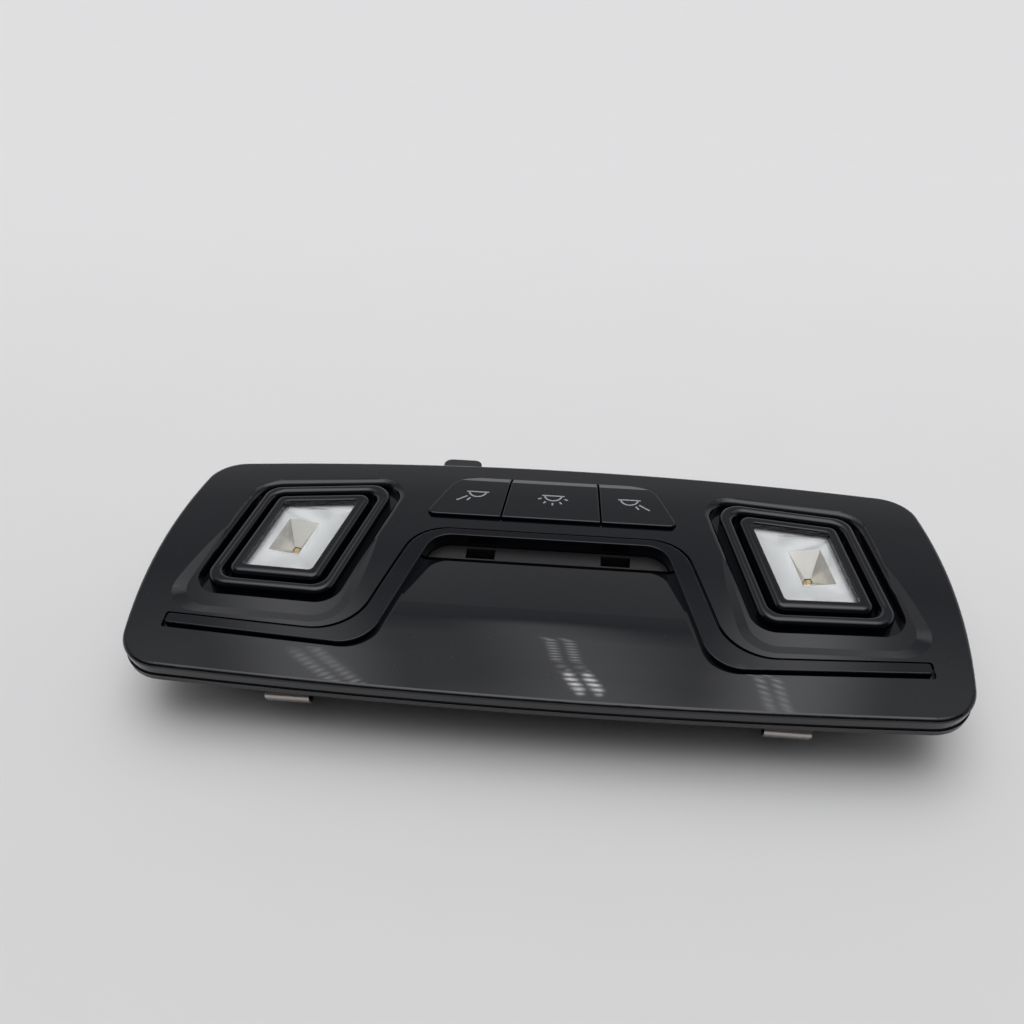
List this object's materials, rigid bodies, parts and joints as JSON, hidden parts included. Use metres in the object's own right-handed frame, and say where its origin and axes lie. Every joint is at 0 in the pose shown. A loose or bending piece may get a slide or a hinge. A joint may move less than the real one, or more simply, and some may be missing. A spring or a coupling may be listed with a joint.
{
  "type": "car dome light",
  "caption": "Low crowned car roof lamp with framed reading lamps at both ends, push buttons in a pocket, a bridge-shaped trim strip over a scooped panel, spring clips and a tongue.",
  "frame": {"origin": "on the flat back of the rear housing, under the middle of the face", "axes": "+X along the length of the lamp, +Y towards the edge with the tongue, +Z out of the lit face"},
  "size_m": [0.2153, 0.1041, 0.0258],
  "materials": {
    "bezel_gloss": "mirror-polished black moulding",
    "trim_gloss": "polished black inlay",
    "frame_gloss": "polished black ring",
    "button_gloss": "polished black cap",
    "plate_black": "satin black moulding",
    "lens_clear": "clear polycarbonate",
    "reflector_silver": "satin metallised plastic",
    "lamp_led": "yellow phosphor",
    "guide_smoked": "smoked acrylic",
    "guide_led": "white package with phosphor",
    "sign_led": "white package with phosphor",
    "clip_steel": "plain spring steel",
    "screw_steel": "zinc plated",
    "switch_black": "moulded case",
    "plunger_white": "moulded plunger",
    "board_green": "solder mask on glass fibre board",
    "chip_black": "moulded package",
    "connector_black": "moulded nylon",
    "pin_brass": "tinned brass",
    "housing_matte": "fine-grained black moulding"
  },
  "bodies": {
    "lamp_body": {"front_bezel": "bezel_gloss", "trim_strip": "trim_gloss", "slot_plate": "plate_black", "circuit_board": "board_green", "driver_chip": "chip_black", "sign_leds": "sign_led", "connector_header": "connector_black", "connector_pins": "pin_brass", "rear_housing": "housing_matte", "housing_screws": "screw_steel", "left_lens_frame": "frame_gloss", "left_lens": "lens_clear", "left_reflector": "reflector_silver", "left_lamp_led": "lamp_led", "left_spring_clip": "clip_steel", "left_light_guide": "guide_smoked", "left_guide_led": "guide_led", "right_lens_frame": "frame_gloss", "right_lens": "lens_clear", "right_reflector": "reflector_silver", "right_lamp_led": "lamp_led", "right_spring_clip": "clip_steel", "right_light_guide": "guide_smoked", "right_guide_led": "guide_led", "left_switch": "switch_black", "centre_switch": "switch_black", "right_switch": "switch_black"},
    "left_button_body": {"left_button": "button_gloss", "left_switch_plunger": "plunger_white"},
    "centre_button_body": {"centre_button": "button_gloss", "centre_switch_plunger": "plunger_white"},
    "right_button_body": {"right_button": "button_gloss", "right_switch_plunger": "plunger_white"}
  },
  "joints": [
    {"name": "left_button_press", "type": "slide", "parent": "lamp_body", "child": "left_button_body", "axis": [0, 0, -1], "range_m": [0, 0.0008], "stiffness_N_per_m": 400, "springref_m": -0.003},
    {"name": "centre_button_press", "type": "slide", "parent": "lamp_body", "child": "centre_button_body", "axis": [0, 0, -1], "range_m": [0, 0.0008], "stiffness_N_per_m": 400, "springref_m": -0.003},
    {"name": "right_button_press", "type": "slide", "parent": "lamp_body", "child": "right_button_body", "axis": [0, 0, -1], "range_m": [0, 0.0008], "stiffness_N_per_m": 400, "springref_m": -0.003}
  ]
}
